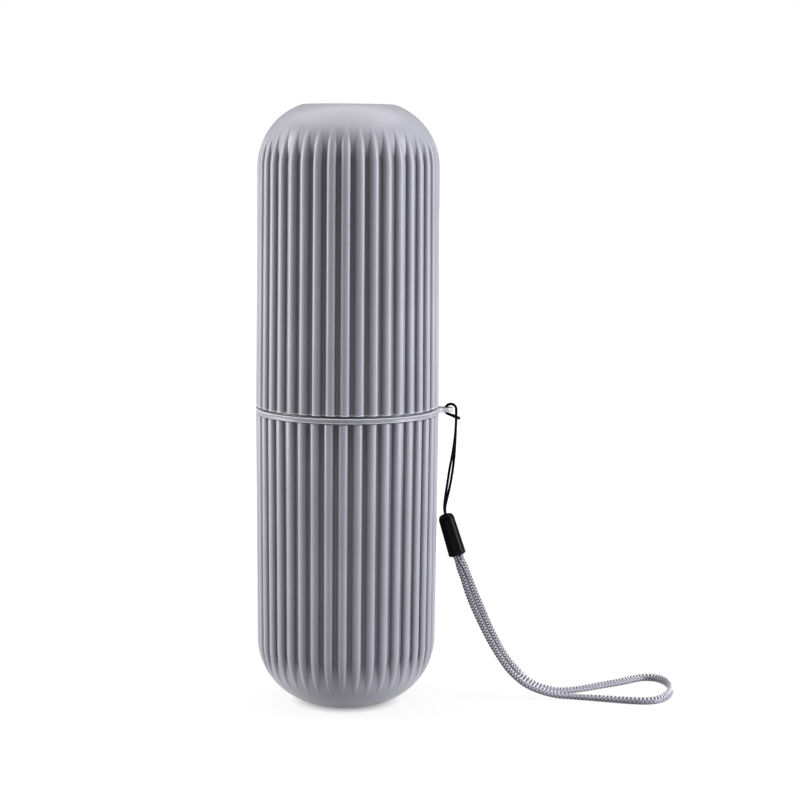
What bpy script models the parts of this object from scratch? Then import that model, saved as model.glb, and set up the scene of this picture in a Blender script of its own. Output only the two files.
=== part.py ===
"""Toothbrush travel case: a fluted cover pushed onto a fluted cup, with a lanyard ring between them.

Metres, +Z up, front towards -Y. The origin is the centre of the flat base that the case stands on.
The ring turns round the cup's neck. A thin cord is hitched through the ring's lug, and a sleeve
on the cord holds both ends of a wrist strap, which reaches the ground beside the case.
"""

from math import acos, atan2, cos, hypot, pi, radians, sin

import bmesh
import bpy
from mathutils import Matrix, Vector

# Whole case
case_height = 0.2070
joint_radius = 0.0316            # over the ribs, where cover and cup meet
gap = 0.0003                     # between pieces that touch

# Fluting, the same on both shells
rib_count = 40
flute_depth = 0.0015
columns_per_rib = 6
cover_rib_turn = radians(-1.65)  # of the first rib, away from the front
cup_rib_turn = radians(-2.45)
fade_start = radians(4)          # up the dome's arc, where the flutes begin to run out
fade_end = radians(44)

# Cover
cover_taper = 0.00055            # from the joint to the start of the dome, in radius
cover_dome_arc = 0.0225
cover_flat_radius = 0.0158
cover_wall = 0.0016              # behind the flutes
cover_inner_arc = 0.0190
cover_top_thickness = 0.0018
socket_wall = 0.0012             # the thinner wall that slides over the neck
cover_seat_gap = 0.0004          # the dark line over the ring

# Cup
cup_height = 0.1015              # up to the shoulder that carries the ring
cup_taper = 0.0006
cup_dome_arc = 0.0232
cup_flat_radius = 0.0115
cup_inner_arc = 0.0170
cup_floor_thickness = 0.0022
cup_draft = 0.0005               # how much narrower the cavity is at the bottom
neck_length = 0.0165
neck_wall = 0.0013
neck_edge = 0.0004
mouth_flare = 0.0004             # of the neck's mouth, on the inside
bead_height = 0.00015            # snap bead round the neck
bead_width = 0.0012
bead_drop = 0.0040               # below the neck's end

# Lanyard ring
ring_thickness = 0.0020
ring_edge = 0.00045
lug_width = 0.0050
lug_thickness = 0.0016
lug_edge = 0.0005
lug_reach = 0.0050               # beyond the ring
lug_hole_radius = 0.00125
lug_bar = 0.0015                 # material between the hole and the lug's tip

# Sleeve and the splice inside it
sleeve_length = 0.0148
sleeve_mouth_radius = 0.0031
sleeve_top_radius = 0.0028
sleeve_dome = 0.0022             # height of its rounded top
sleeve_dome_shares = ((0.55, 0.06), (0.18, 0.38))  # of it, inwards and down, on the way round
sleeve_bore_radius = 0.0025
sleeve_cord_hole_radius = 0.00125
sleeve_roof = 0.0020
sleeve_mouth_out = 0.03875       # from the case's axis
sleeve_mouth_up = 0.05176
sleeve_lean = radians(17.4)
splice_radius = 0.0021
splice_length = 0.0050
splice_edge = 0.0005
splice_up = 0.0058               # from the sleeve's mouth

# Cords
loop_diameter = 0.00065
strap_diameter = 0.0026
strap_pinched_diameter = 0.0020  # where two strands share the sleeve's bore
strap_swell_length = 0.0060      # over which a strand grows back to its full size
cord_unit = 0.001                # the routes below are in millimetres

# Turned pieces
shell_steps = rib_count * columns_per_rib
bore_steps = 56
small_steps = 18
lug_tip_steps = 9
dome_steps = 5
edge_steps = 2
overrun = 0.0020                 # of a helper past the face it opens or joins

# The thin cord, from the splice up to the lug: centre of its two strands (x, z), then half the
# distance between them (along x, along y). The back strand mirrors the front one.
thin_strand_route = [
    (35.43, 62.35, 0.00, 0.50),
    (34.55, 65.20, 0.04, 0.50),
    (34.13, 68.00, 0.16, 0.48),
    (34.45, 70.90, 0.34, 0.42),
    (35.05, 74.30, 0.50, 0.30),
    (35.66, 78.00, 0.58, 0.18),
    (36.26, 82.20, 0.58, 0.18),
    (36.85, 86.40, 0.42, 0.32),
    (37.27, 90.60, 0.22, 0.42),
    (37.56, 94.60, 0.08, 0.46),
    (37.71, 98.20, 0.00, 0.46),
    (37.73, 100.4, 0.00, 0.46),
]
# Over the lug's bar the strands turn round its middle, at this distance and through these angles.
wrap_radius = 1.90
wrap_angles = (-12, 24, 60, 96, 132, 168, 198, 222)
# Below the lug they part, and the bight that joins them goes round the two strands that come up.
bight_route = [
    (35.60, 101.02, 0.62),
    (36.65, 100.62, 1.12),
    (37.62, 100.22, 1.46),
    (38.42, 99.90, 1.05),
    (38.76, 99.76, 0.42),
]

# The wrist strap, from the splice down the front strand, round the loop and up the back strand.
strap_route = [
    (36.30, -0.62, 56.75),
    (37.12, -0.62, 54.13),
    (37.94, -0.64, 51.51),
    (38.60, -0.85, 50.00),
    (39.38, -1.20, 48.00),
    (40.92, -1.45, 44.24),
    (42.33, -1.45, 39.98),
    (43.87, -1.45, 35.79),
    (45.70, -1.45, 31.56),
    (47.72, -1.45, 27.28),
    (49.90, -1.45, 22.98),
    (52.30, -1.45, 18.69),
    (55.00, -1.45, 14.40),
    (58.07, -1.45, 10.32),
    (62.50, -1.35, 6.35),
    (67.00, -0.95, 3.80),
    (71.10, -0.60, 2.40),
    (75.30, -0.40, 1.60),
    (79.80, -0.70, 1.35),
    (84.10, -1.90, 1.35),
    (88.20, -3.10, 1.35),
    (92.20, -4.40, 1.35),
    (96.30, -5.70, 1.35),
    (100.4, -6.80, 1.35),
    (104.4, -7.40, 1.35),
    (108.2, -6.60, 1.35),
    (111.4, -4.00, 1.35),
    (113.9, 0.00, 1.35),
    (115.6, 4.80, 1.35),
    (116.4, 9.80, 1.35),
    (116.3, 14.8, 1.35),
    (115.2, 19.5, 1.35),
    (112.6, 23.2, 1.35),
    (108.7, 24.0, 1.35),
    (104.9, 22.0, 1.35),
    (101.0, 19.2, 1.35),
    (97.00, 16.7, 1.35),
    (92.50, 14.1, 1.35),
    (87.80, 11.3, 1.35),
    (83.50, 8.90, 1.35),
    (79.60, 6.90, 1.45),
    (75.30, 4.80, 1.85),
    (71.20, 3.05, 2.85),
    (67.50, 2.05, 4.10),
    (64.20, 1.75, 6.05),
    (60.90, 1.60, 8.90),
    (57.12, 1.50, 13.26),
    (54.18, 1.45, 17.68),
    (51.90, 1.45, 22.15),
    (49.75, 1.45, 26.40),
    (47.91, 1.45, 30.81),
    (46.05, 1.45, 35.14),
    (44.25, 1.45, 39.43),
    (42.51, 1.45, 43.77),
    (40.95, 1.25, 48.06),
    (40.25, 0.88, 50.25),
    (39.71, 0.64, 52.06),
    (38.89, 0.62, 54.68),
    (38.07, 0.62, 57.31),
]


# Heights and radii that follow from the sizes above
cover_dome_start_radius = joint_radius - cover_taper
cup_dome_start_radius = joint_radius - cup_taper
ring_bottom = cup_height + gap
ring_middle = ring_bottom + ring_thickness / 2
cover_rim_height = ring_bottom + ring_thickness + cover_seat_gap
socket_radius = joint_radius - flute_depth - socket_wall
neck_radius = socket_radius - gap
neck_top = cup_height + neck_length
cup_mouth_radius = neck_radius - neck_wall
cup_floor_radius = cup_mouth_radius - cup_draft
cover_inner_radius = cover_dome_start_radius - flute_depth - cover_wall
ring_inner_radius = neck_radius + gap
lug_tip = joint_radius + lug_reach
lug_bar_middle = lug_tip - lug_bar / 2
lug_hole_out = lug_tip - lug_bar - lug_hole_radius


def clear_scene():
    for obj in list(bpy.data.objects):
        bpy.data.objects.remove(obj)


def new_collection(name):
    collection = bpy.data.collections.new(name)
    bpy.context.scene.collection.children.link(collection)
    return collection


def new_material(name, colour, roughness, metallic=0.0):
    material = bpy.data.materials.new(name)
    material.use_nodes = True
    shader = material.node_tree.nodes["Principled BSDF"]
    shader.inputs["Base Color"].default_value = (*colour, 1.0)
    shader.inputs["Roughness"].default_value = roughness
    shader.inputs["Metallic"].default_value = metallic
    material.diffuse_color = (*colour, 1.0)
    return material


def add_object(name, data, collection, material=None):
    obj = bpy.data.objects.new(name, data)
    collection.objects.link(obj)
    if material:
        data.materials.append(material)
    return obj


def arc(centre_r, centre_z, radius, start, end, steps):
    """Points (r, z) on an arc. Angle 0 points away from the axis, and a quarter turn points up."""
    angles = [start + (end - start) * i / steps for i in range(steps + 1)]
    return [(centre_r + radius * cos(a), centre_z + radius * sin(a)) for a in angles]


def turned_mesh(name, profile, steps, closed=False):
    """The profile of points (r, z), turned round the Z axis by a Screw modifier.

    A closed profile makes a ring. An open one runs down the outer side, and each of its ends
    that is off the axis is closed by a flat face.
    """
    mesh = bpy.data.meshes.new(name + "_profile")
    edges = [(i, i + 1) for i in range(len(profile) - 1)]
    if closed:
        edges.append((len(profile) - 1, 0))
    mesh.from_pydata([(r, 0.0, z) for r, z in profile], edges, [])
    obj = bpy.data.objects.new(name + "_profile", mesh)
    bpy.context.scene.collection.objects.link(obj)
    screw = obj.modifiers.new("Turn", "SCREW")
    screw.steps = screw.render_steps = steps
    screw.use_merge_vertices = True
    screw.merge_threshold = 0.00001
    screw.use_normal_calculate = True
    turned = evaluated_mesh(obj, name)
    bm = bmesh.new()
    bm.from_mesh(turned)
    if not closed:
        bmesh.ops.holes_fill(bm, edges=[e for e in bm.edges if e.is_boundary], sides=0)
    bmesh.ops.recalc_face_normals(bm, faces=bm.faces)
    bm.to_mesh(turned)
    bm.free()
    return turned


def evaluated_mesh(obj, name):
    """A plain mesh of the object as its modifiers leave it. The object itself is removed."""
    graph = bpy.context.evaluated_depsgraph_get()
    graph.update()
    mesh = bpy.data.meshes.new_from_object(obj.evaluated_get(graph))
    mesh.name = name
    mesh.transform(obj.matrix_world)
    bpy.data.objects.remove(obj)
    return mesh


def smooth(mesh, angle=radians(35)):
    mesh.shade_smooth()
    mesh.set_sharp_from_angle(angle=angle)


def boolean(obj, other, operation):
    modifier = obj.modifiers.new(operation.title() + " " + other.name, "BOOLEAN")
    modifier.operation = operation
    modifier.solver = "EXACT"
    modifier.object = other


def helper(name, mesh):
    """A solid for a Boolean, which isn't a piece of the case."""
    obj = add_object(name, mesh, helpers)
    obj.hide_render = True
    obj.display_type = "WIRE"
    return obj


def dome_end_angle(start_radius, arc_radius, flat_radius):
    """How far round its arc a dome goes before its flat end."""
    return acos((flat_radius - start_radius + arc_radius) / arc_radius)


def dome_angles(end):
    """Rows of the dome: even steps while the flutes run out, then even steps to the flat."""
    fade = [fade_end * i / dome_steps for i in range(dome_steps + 1)]
    rest = [fade_end + (end - fade_end) * i / edge_steps for i in range(1, edge_steps + 1)]
    return fade + rest


def flute(mesh, dome_height, side, turn):
    """Presses the flutes into a turned shell.

    They are cosines round the wall, and run out along the dome that starts at dome_height.
    side is 1 where the dome is above that height and -1 where it is below. A point moves along
    the normal of the dome's arc, so that a rib keeps its width and only its height fades.
    """
    for vertex in mesh.vertices:
        x, y, z = vertex.co
        radius = hypot(x, y)
        past = side * (z - dome_height)
        arc_radius = cover_dome_arc if side > 0 else cup_dome_arc
        climb = 0.0 if past <= 0 else atan2(past, (arc_radius ** 2 - past ** 2) ** 0.5)
        share = min(max((climb - fade_start) / (fade_end - fade_start), 0.0), 1.0)
        fade = 1 - share * share * (3 - 2 * share)
        around = atan2(x, -y) - turn
        press = flute_depth * fade * (1 - cos(rib_count * around)) / 2
        scale = 1 - press * cos(climb) / radius
        vertex.co = (x * scale, y * scale, z - side * press * sin(climb))


def make_cover():
    end = dome_end_angle(cover_dome_start_radius, cover_dome_arc, cover_flat_radius)
    centre_r = cover_dome_start_radius - cover_dome_arc
    dome_height = case_height - cover_dome_arc * sin(end)
    profile = [
        (centre_r + cover_dome_arc * cos(a), dome_height + cover_dome_arc * sin(a))
        for a in reversed(dome_angles(end))
    ]
    profile.append((joint_radius, cover_rim_height))
    outside = turned_mesh("upper_cover", profile, shell_steps)
    flute(outside, dome_height, 1, cover_rib_turn)
    cover = add_object("upper_cover", outside, part, shell_material)

    inner_top = case_height - cover_top_thickness
    step_height = neck_top + gap
    cavity = arc(
        cover_inner_radius - cover_inner_arc, inner_top - cover_inner_arc,
        cover_inner_arc, pi / 2, 0, dome_steps,
    )
    widening = cover_taper * (dome_height - step_height) / (dome_height - cover_rim_height)
    cavity += [
        (cover_inner_radius + widening, step_height),
        (socket_radius, step_height),
        (socket_radius, cover_rim_height - overrun),
    ]
    hollow = helper("cover_cavity", turned_mesh("cover_cavity", cavity, bore_steps))
    boolean(cover, hollow, "DIFFERENCE")
    return cover


def make_cup():
    end = dome_end_angle(cup_dome_start_radius, cup_dome_arc, cup_flat_radius)
    centre_r = cup_dome_start_radius - cup_dome_arc
    dome_height = cup_dome_arc * sin(end)
    profile = [(joint_radius, cup_height)]
    profile += [
        (centre_r + cup_dome_arc * cos(a), dome_height - cup_dome_arc * sin(a))
        for a in dome_angles(end)
    ]
    outside = turned_mesh("lower_cup", profile, shell_steps)
    flute(outside, dome_height, -1, cup_rib_turn)
    cup = add_object("lower_cup", outside, part, shell_material)

    bead_middle = neck_top - bead_drop
    neck = [
        (neck_radius - neck_edge, neck_top),
        (neck_radius, neck_top - neck_edge),
        (neck_radius, bead_middle + bead_width / 2),
        (neck_radius + bead_height, bead_middle + bead_width / 4),
        (neck_radius + bead_height, bead_middle - bead_width / 4),
        (neck_radius, bead_middle - bead_width / 2),
        (neck_radius, cup_height - overrun),
    ]
    boolean(cup, helper("cup_neck", turned_mesh("cup_neck", neck, bore_steps)), "UNION")

    floor_arc = arc(
        cup_floor_radius - cup_inner_arc, cup_floor_thickness + cup_inner_arc,
        cup_inner_arc, 0, -pi / 2, dome_steps,
    )
    cavity = [
        (cup_mouth_radius + mouth_flare, neck_top + mouth_flare),
        (cup_mouth_radius, neck_top - mouth_flare),
    ] + floor_arc
    hollow = helper("cup_cavity", turned_mesh("cup_cavity", cavity, bore_steps))
    boolean(cup, hollow, "DIFFERENCE")
    return cup


def make_ring():
    top, bottom = ring_bottom + ring_thickness, ring_bottom
    profile = [(ring_inner_radius, top)]
    profile += arc(joint_radius - ring_edge, top - ring_edge, ring_edge, pi / 2, 0, edge_steps)
    profile += arc(joint_radius - ring_edge, bottom + ring_edge, ring_edge, 0, -pi / 2, edge_steps)
    profile += [(ring_inner_radius, bottom)]
    turned = turned_mesh("lanyard_ring", profile, bore_steps, closed=True)
    ring = add_object("lanyard_ring", turned, part, ring_material)
    smooth(ring.data)

    boolean(ring, helper("ring_lug", lug_mesh()), "UNION")
    return ring


def lug_mesh():
    """A flat tongue with a round tip and a round hole, as a 2D curve whose edges are rounded."""
    curve = bpy.data.curves.new("lug_outline", "CURVE")
    curve.dimensions = "2D"
    curve.fill_mode = "BOTH"
    curve.extrude = lug_thickness / 2 - lug_edge
    curve.bevel_depth = lug_edge
    curve.bevel_resolution = 1
    curve.offset = -lug_edge
    half = lug_width / 2
    root = (ring_inner_radius + joint_radius) / 2
    tip = [
        (lug_tip - half + half * cos(a), half * sin(a))
        for a in spread(-pi / 2, pi / 2, lug_tip_steps)
    ]
    hole = [
        (lug_hole_out + lug_hole_radius * cos(a), lug_hole_radius * sin(a))
        for a in spread(2 * pi, 2 * pi / small_steps, small_steps - 1)
    ]
    for points in ([(root, -half)] + tip + [(root, half)], hole):
        spline = curve.splines.new("POLY")
        spline.points.add(len(points) - 1)
        for point, (x, y) in zip(spline.points, points):
            point.co = (x, y, 0.0, 1.0)
        spline.use_cyclic_u = True
    obj = bpy.data.objects.new("lug_outline", curve)
    obj.location.z = ring_middle
    bpy.context.scene.collection.objects.link(obj)
    bpy.context.view_layer.update()
    mesh = evaluated_mesh(obj, "ring_lug")
    weld(mesh)
    return mesh


def spread(start, end, steps):
    return [start + (end - start) * i / steps for i in range(steps + 1)]


def weld(mesh):
    bm = bmesh.new()
    bm.from_mesh(mesh)
    bmesh.ops.remove_doubles(bm, verts=bm.verts, dist=0.000001)
    bmesh.ops.recalc_face_normals(bm, faces=bm.faces)
    bm.to_mesh(mesh)
    bm.free()


def lean_onto_sleeve(mesh):
    """Moves a mesh made along +Z from the sleeve's mouth to where the sleeve hangs."""
    mouth = Vector((sleeve_mouth_out, 0.0, sleeve_mouth_up))
    mesh.transform(Matrix.Translation(mouth) @ Matrix.Rotation(-sleeve_lean, 4, "Y"))


def make_sleeve():
    top = sleeve_length
    outer = [(sleeve_cord_hole_radius, top)]
    outer += [
        (sleeve_top_radius - sleeve_dome * inwards, top - sleeve_dome * down)
        for inwards, down in sleeve_dome_shares
    ]
    outer += [(sleeve_top_radius, top - sleeve_dome), (sleeve_mouth_radius, 0.0)]
    bore_top_radius = sleeve_bore_radius - sleeve_mouth_radius + sleeve_top_radius
    inner = [
        (sleeve_bore_radius, 0.0),
        (bore_top_radius, top - sleeve_roof - sleeve_dome / 2),
        (sleeve_cord_hole_radius, top - sleeve_roof),
    ]
    mesh = turned_mesh("cord_sleeve", outer + inner, small_steps, closed=True)
    lean_onto_sleeve(mesh)
    smooth(mesh)
    return add_object("cord_sleeve", mesh, part, sleeve_material)


def make_splice():
    low, high = splice_up, splice_up + splice_length
    profile = [
        (splice_radius - splice_edge, high),
        (splice_radius, high - splice_edge),
        (splice_radius, low + splice_edge),
        (splice_radius - splice_edge, low),
    ]
    mesh = turned_mesh("cord_splice", profile, small_steps)
    lean_onto_sleeve(mesh)
    smooth(mesh)
    return add_object("cord_splice", mesh, part, splice_material)


def loop_route():
    """The whole thin cord: up the front strand, over the lug, round the bight and back down."""
    front, back = [], []
    for x, z, half_x, half_y in thin_strand_route:
        front.append((x - half_x, -half_y, z))
        back.append((x + half_x, half_y, z))
    middle_x, middle_z = lug_bar_middle / cord_unit, ring_middle / cord_unit
    half_y = thin_strand_route[-1][3]
    for degrees in wrap_angles:
        x = middle_x + wrap_radius * cos(radians(degrees))
        z = middle_z + wrap_radius * sin(radians(degrees))
        front.append((x, -half_y, z))
        back.append((x, half_y, z))
    for x, z, half_y in bight_route:
        front.append((x, -half_y, z))
        back.append((x, half_y, z))
    return front + back[::-1]


def smooth_curve(route, per_span):
    """Points on a Catmull-Rom curve through the route, with per_span steps between two points."""
    points = [Vector(p) * cord_unit for p in route]
    points = [2 * points[0] - points[1]] + points + [2 * points[-1] - points[-2]]
    result = []
    for a, b, c, d in zip(points, points[1:], points[2:], points[3:]):
        for i in range(per_span):
            t = i / per_span
            result.append(
                (b * 2 + (c - a) * t + (a * 2 - b * 5 + c * 4 - d) * t ** 2
                 + (b * 3 - a - c * 3 + d) * t ** 3) / 2
            )
    return result + [points[-2]]


def cord_mesh(name, points, diameter, radii):
    curve = bpy.data.curves.new(name, "CURVE")
    curve.dimensions = "3D"
    curve.bevel_depth = diameter / 2
    curve.bevel_resolution = 2
    curve.use_fill_caps = True
    curve.twist_mode = "MINIMUM"
    spline = curve.splines.new("POLY")
    spline.points.add(len(points) - 1)
    for point, place, radius in zip(spline.points, points, radii):
        point.co = (*place, 1.0)
        point.radius = radius
    obj = bpy.data.objects.new(name, curve)
    bpy.context.scene.collection.objects.link(obj)
    mesh = evaluated_mesh(obj, name)
    weld(mesh)
    smooth(mesh, radians(60))
    return mesh


def make_loop():
    points = smooth_curve(loop_route(), 1)
    mesh = cord_mesh("hang_loop", points, loop_diameter, [1.0] * len(points))
    return add_object("hang_loop", mesh, part, loop_material)


def make_strap():
    points = smooth_curve(strap_route, 1)
    pinched = strap_pinched_diameter / strap_diameter
    run = [0.0]
    for a, b in zip(points, points[1:]):
        run.append(run[-1] + (b - a).length)
    pinch_length = splice_up + strap_swell_length
    radii = []
    for distance in run:
        from_end = min(distance, run[-1] - distance) - splice_up
        share = min(max(from_end / (pinch_length - splice_up), 0.0), 1.0)
        radii.append(pinched + (1 - pinched) * share * share * (3 - 2 * share))
    mesh = cord_mesh("wrist_strap", points, strap_diameter, radii)
    return add_object("wrist_strap", mesh, part, strap_material)


def hang(name, place, children):
    """An empty on a joint's axis, which carries the pieces that move with it."""
    empty = bpy.data.objects.new(name, None)
    empty.location = place
    part.objects.link(empty)
    bpy.context.view_layer.update()
    for child in children:
        child.parent = empty
        child.matrix_parent_inverse = empty.matrix_world.inverted()
    return empty


clear_scene()
part = new_collection("toothbrush_travel_case")
helpers = new_collection("helpers")
shell_material = new_material("lilac_grey_plastic", (0.50, 0.49, 0.56), 0.42)
ring_material = new_material("milky_plastic", (0.74, 0.73, 0.76), 0.30)
loop_material = new_material("black_cord", (0.008, 0.008, 0.010), 0.75)
sleeve_material = new_material("black_plastic", (0.010, 0.010, 0.012), 0.35)
splice_material = new_material("dark_binding", (0.030, 0.030, 0.035), 0.60)
strap_material = new_material("grey_braid", (0.42, 0.41, 0.45), 0.80)

cup_piece = make_cup()
cover_piece = make_cover()
ring_piece = make_ring()
lanyard_pieces = [make_loop(), make_sleeve(), make_splice(), make_strap()]
for shell in (cup_piece, cover_piece):
    smooth(shell.data)

hang("cover_slide", (0.0, 0.0, cover_rim_height), [cover_piece])
ring_turn = hang("ring_turn", (0.0, 0.0, ring_middle), [ring_piece])
lanyard_swing = hang("lanyard_swing", (lug_bar_middle, 0.0, ring_middle), lanyard_pieces)
lanyard_swing.parent = ring_turn
lanyard_swing.matrix_parent_inverse = ring_turn.matrix_world.inverted()
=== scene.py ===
"""A fluted toothbrush travel case standing closed, with its lanyard hanging to the ground.

Millimetres in the tables and the surface functions, metres once a mesh is made. +Z is up and the
photograph is taken from -Y. Every surface is worked out on a grid of two parameters.
"""

from math import cos, pi, radians, sin

import bmesh
import bpy
import numpy as np
from mathutils import Matrix, Vector


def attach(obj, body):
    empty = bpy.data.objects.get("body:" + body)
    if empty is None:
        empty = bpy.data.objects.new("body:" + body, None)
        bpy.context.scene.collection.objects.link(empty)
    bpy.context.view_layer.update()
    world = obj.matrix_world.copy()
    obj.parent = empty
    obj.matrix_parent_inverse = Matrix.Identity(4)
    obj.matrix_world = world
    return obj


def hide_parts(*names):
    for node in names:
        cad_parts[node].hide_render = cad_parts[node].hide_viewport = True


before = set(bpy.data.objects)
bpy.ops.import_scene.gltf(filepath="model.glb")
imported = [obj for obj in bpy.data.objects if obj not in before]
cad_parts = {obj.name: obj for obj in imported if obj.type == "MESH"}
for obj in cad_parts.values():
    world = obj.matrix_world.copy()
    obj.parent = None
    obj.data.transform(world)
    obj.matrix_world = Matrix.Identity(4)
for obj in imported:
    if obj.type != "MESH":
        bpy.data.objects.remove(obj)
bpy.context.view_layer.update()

MM = 0.001
scene = bpy.context.scene
scene.view_settings.view_transform = "Standard"

# ------------------------------------------------------------------ camera
# The place, in mm, and the turns, in degrees, were fitted to the case's outline in the photograph.
CAMERA_BACK, CAMERA_UP = 684.3, 191.4
CAMERA_DOWN, CAMERA_RIGHT, CAMERA_ROLL = 7.111, 1.525, 0.48
FOCAL_PIXELS, PICTURE_PIXELS, SENSOR = 1993.8, 800, 36.0


def make_camera():
    """Looks along +Y, turned right and down, then rolled about its own axis."""
    data = bpy.data.cameras.new("photograph")
    data.sensor_width = SENSOR
    data.lens = SENSOR * FOCAL_PIXELS / PICTURE_PIXELS
    camera = bpy.data.objects.new("photograph", data)
    scene.collection.objects.link(camera)
    turn = Matrix.Rotation(-radians(CAMERA_RIGHT), 4, "Z")
    tilt = Matrix.Rotation(radians(90 - CAMERA_DOWN), 4, "X")
    roll = Matrix.Rotation(radians(CAMERA_ROLL), 4, "Z")
    camera.matrix_world = (
        Matrix.Translation((0.0, -CAMERA_BACK * MM, CAMERA_UP * MM)) @ turn @ tilt @ roll
    )
    scene.camera = camera


make_camera()

# ------------------------------------------------------------------ sizes, as in the CAD, in mm
CASE_HEIGHT = 207.0
JOINT_RADIUS = 31.6
GAP = 0.3
RIBS = 40
FLUTE_DEPTH = 1.5
COVER_RIB_TURN, CUP_RIB_TURN = radians(-1.65), radians(-2.45)
COVER_TAPER, CUP_TAPER = 0.55, 0.6
COVER_ARC, CUP_ARC = 22.5, 23.2
COVER_FLAT, CUP_FLAT = 15.8, 11.5
CUP_HEIGHT = 101.5
RING_THICKNESS = 2.0
COVER_SEAT_GAP = 0.4
NECK_TOP = 118.0
SOCKET_RADIUS = 28.9
NECK_RADIUS = 28.6
LUG_REACH, LUG_WIDTH, LUG_THICKNESS = 5.0, 5.0, 1.6
LUG_HOLE_RADIUS, LUG_BAR = 1.25, 1.5
SLEEVE_LENGTH, SLEEVE_MOUTH_RADIUS, SLEEVE_TOP_RADIUS = 14.8, 3.1, 2.8
SLEEVE_MOUTH = (38.75, 0.0, 51.76)
SLEEVE_LEAN = radians(17.4)
RING_MIDDLE = CUP_HEIGHT + GAP + RING_THICKNESS / 2
RIM_HEIGHT = CUP_HEIGHT + GAP + RING_THICKNESS + COVER_SEAT_GAP
LUG_TIP = JOINT_RADIUS + LUG_REACH
LUG_HOLE_OUT = LUG_TIP - LUG_BAR - LUG_HOLE_RADIUS
LUG_BAR_MIDDLE = LUG_TIP - LUG_BAR / 2

# The thin cord: centre of its two strands (x, z), then half the distance between them (x, y).
THIN_STRANDS = [
    (35.43, 62.35, 0.00, 0.50), (34.55, 65.20, 0.04, 0.50), (34.13, 68.00, 0.16, 0.48),
    (34.45, 70.90, 0.34, 0.42), (35.05, 74.30, 0.50, 0.30), (35.66, 78.00, 0.58, 0.18),
    (36.26, 82.20, 0.58, 0.18), (36.85, 86.40, 0.42, 0.32), (37.27, 90.60, 0.22, 0.42),
    (37.56, 94.60, 0.08, 0.46), (37.71, 98.20, 0.00, 0.46), (37.73, 100.4, 0.00, 0.46),
]
# Then it turns over the lug's bar, at these angles from outwards, in degrees. The bight closes
# it: x, z, and half the distance between the strands.
WRAP_RADIUS = 1.90
WRAP_ANGLES = (-12, 24, 60, 96, 132, 168, 198, 222)
BIGHT = [
    (35.60, 101.02, 0.62), (36.65, 100.62, 1.12), (37.62, 100.22, 1.46),
    (38.42, 99.90, 1.05), (38.76, 99.76, 0.42),
]
LOOP_DIAMETER = 0.65
LOOP_DRAWN_RADIUS = 1.42 * LOOP_DIAMETER / 2    # as thick as the photograph shows it
PLY_TURN = 2.4                                  # mm along the thin cord for one turn of its plies

# The wrist strap: centre (x, y, z), then how far the flat braid is turned about its own line, in
# degrees: 90 stands on edge, with its edge up, and 0 or 180 lies flat.
STRAP = [
    (36.30, -0.62, 56.75, 90), (37.12, -0.62, 54.13, 90), (37.94, -0.64, 51.51, 90),
    (38.60, -0.85, 50.00, 90), (39.38, -1.20, 48.00, 90), (40.92, -1.45, 44.24, 90),
    (42.33, -1.45, 39.98, 92), (43.87, -1.45, 35.79, 94), (45.70, -1.45, 31.56, 96),
    (47.72, -1.45, 27.28, 98), (49.90, -1.45, 22.98, 100), (52.30, -1.45, 18.69, 103),
    (55.00, -1.45, 14.40, 107), (58.07, -1.45, 10.32, 112), (62.50, -1.35, 6.35, 120),
    (67.00, -0.95, 3.80, 132), (71.10, -0.60, 2.40, 146), (75.30, -0.40, 1.60, 158),
    (79.80, -0.70, 1.35, 164), (84.10, -1.90, 1.35, 162), (88.20, -3.10, 1.35, 154),
    (92.20, -4.40, 1.35, 148), (96.30, -5.70, 1.35, 142), (100.4, -6.80, 1.35, 136),
    (104.4, -7.40, 1.35, 132), (108.2, -6.60, 1.35, 128), (111.4, -4.00, 1.35, 122),
    (113.9, 0.00, 1.35, 114), (115.6, 4.80, 1.35, 102), (116.4, 9.80, 1.35, 90),
    (116.3, 14.8, 1.35, 80), (115.2, 19.5, 1.35, 70), (112.6, 23.2, 1.35, 60),
    (108.7, 24.0, 1.35, 52), (104.9, 22.0, 1.35, 47), (101.0, 19.2, 1.35, 43),
    (97.00, 16.7, 1.35, 38), (92.50, 14.1, 1.35, 33), (87.80, 11.3, 1.35, 28),
    (83.50, 8.90, 1.35, 24), (79.60, 6.90, 1.45, 24), (75.30, 4.80, 1.85, 30),
    (71.20, 3.05, 2.85, 42), (67.50, 2.05, 4.10, 54), (64.20, 1.75, 6.05, 64),
    (60.90, 1.60, 8.90, 72), (57.12, 1.50, 13.26, 78), (54.18, 1.45, 17.68, 82),
    (51.90, 1.45, 22.15, 84), (49.75, 1.45, 26.40, 86), (47.91, 1.45, 30.81, 87),
    (46.05, 1.45, 35.14, 88), (44.25, 1.45, 39.43, 88), (42.51, 1.45, 43.77, 89),
    (40.95, 1.25, 48.06, 90), (40.25, 0.88, 50.25, 90), (39.71, 0.64, 52.06, 90),
    (38.89, 0.62, 54.68, 90), (38.07, 0.62, 57.31, 90),
]
STRAP_WIDTH, STRAP_THICKNESS = 3.1, 1.9
STRAP_PINCHED = 2.0                             # both ways, in the sleeve
STRAP_SPLICE_UP, STRAP_SWELL = 5.8, 6.0         # mm of pinched end, then of growing to full size
STRAP_DRAWN = 0.92                              # the drawn strap's share of the solid's size
STRAP_GROUND_HEIGHT = 1.35                      # of the table's points on the ground
LIFT_OFF, HANGS_FROM = 3.0, 12.0                # heights where the strap leaves the ground
CELL_ON_GROUND, CELL_HANGING = 1.40, 1.10       # mm along the strap for one cell of the braid
CELLS_ROUND = 4                                 # of each family of yarns
STITCH = 1.38                                   # mm along the strap for one edge stitch


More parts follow.
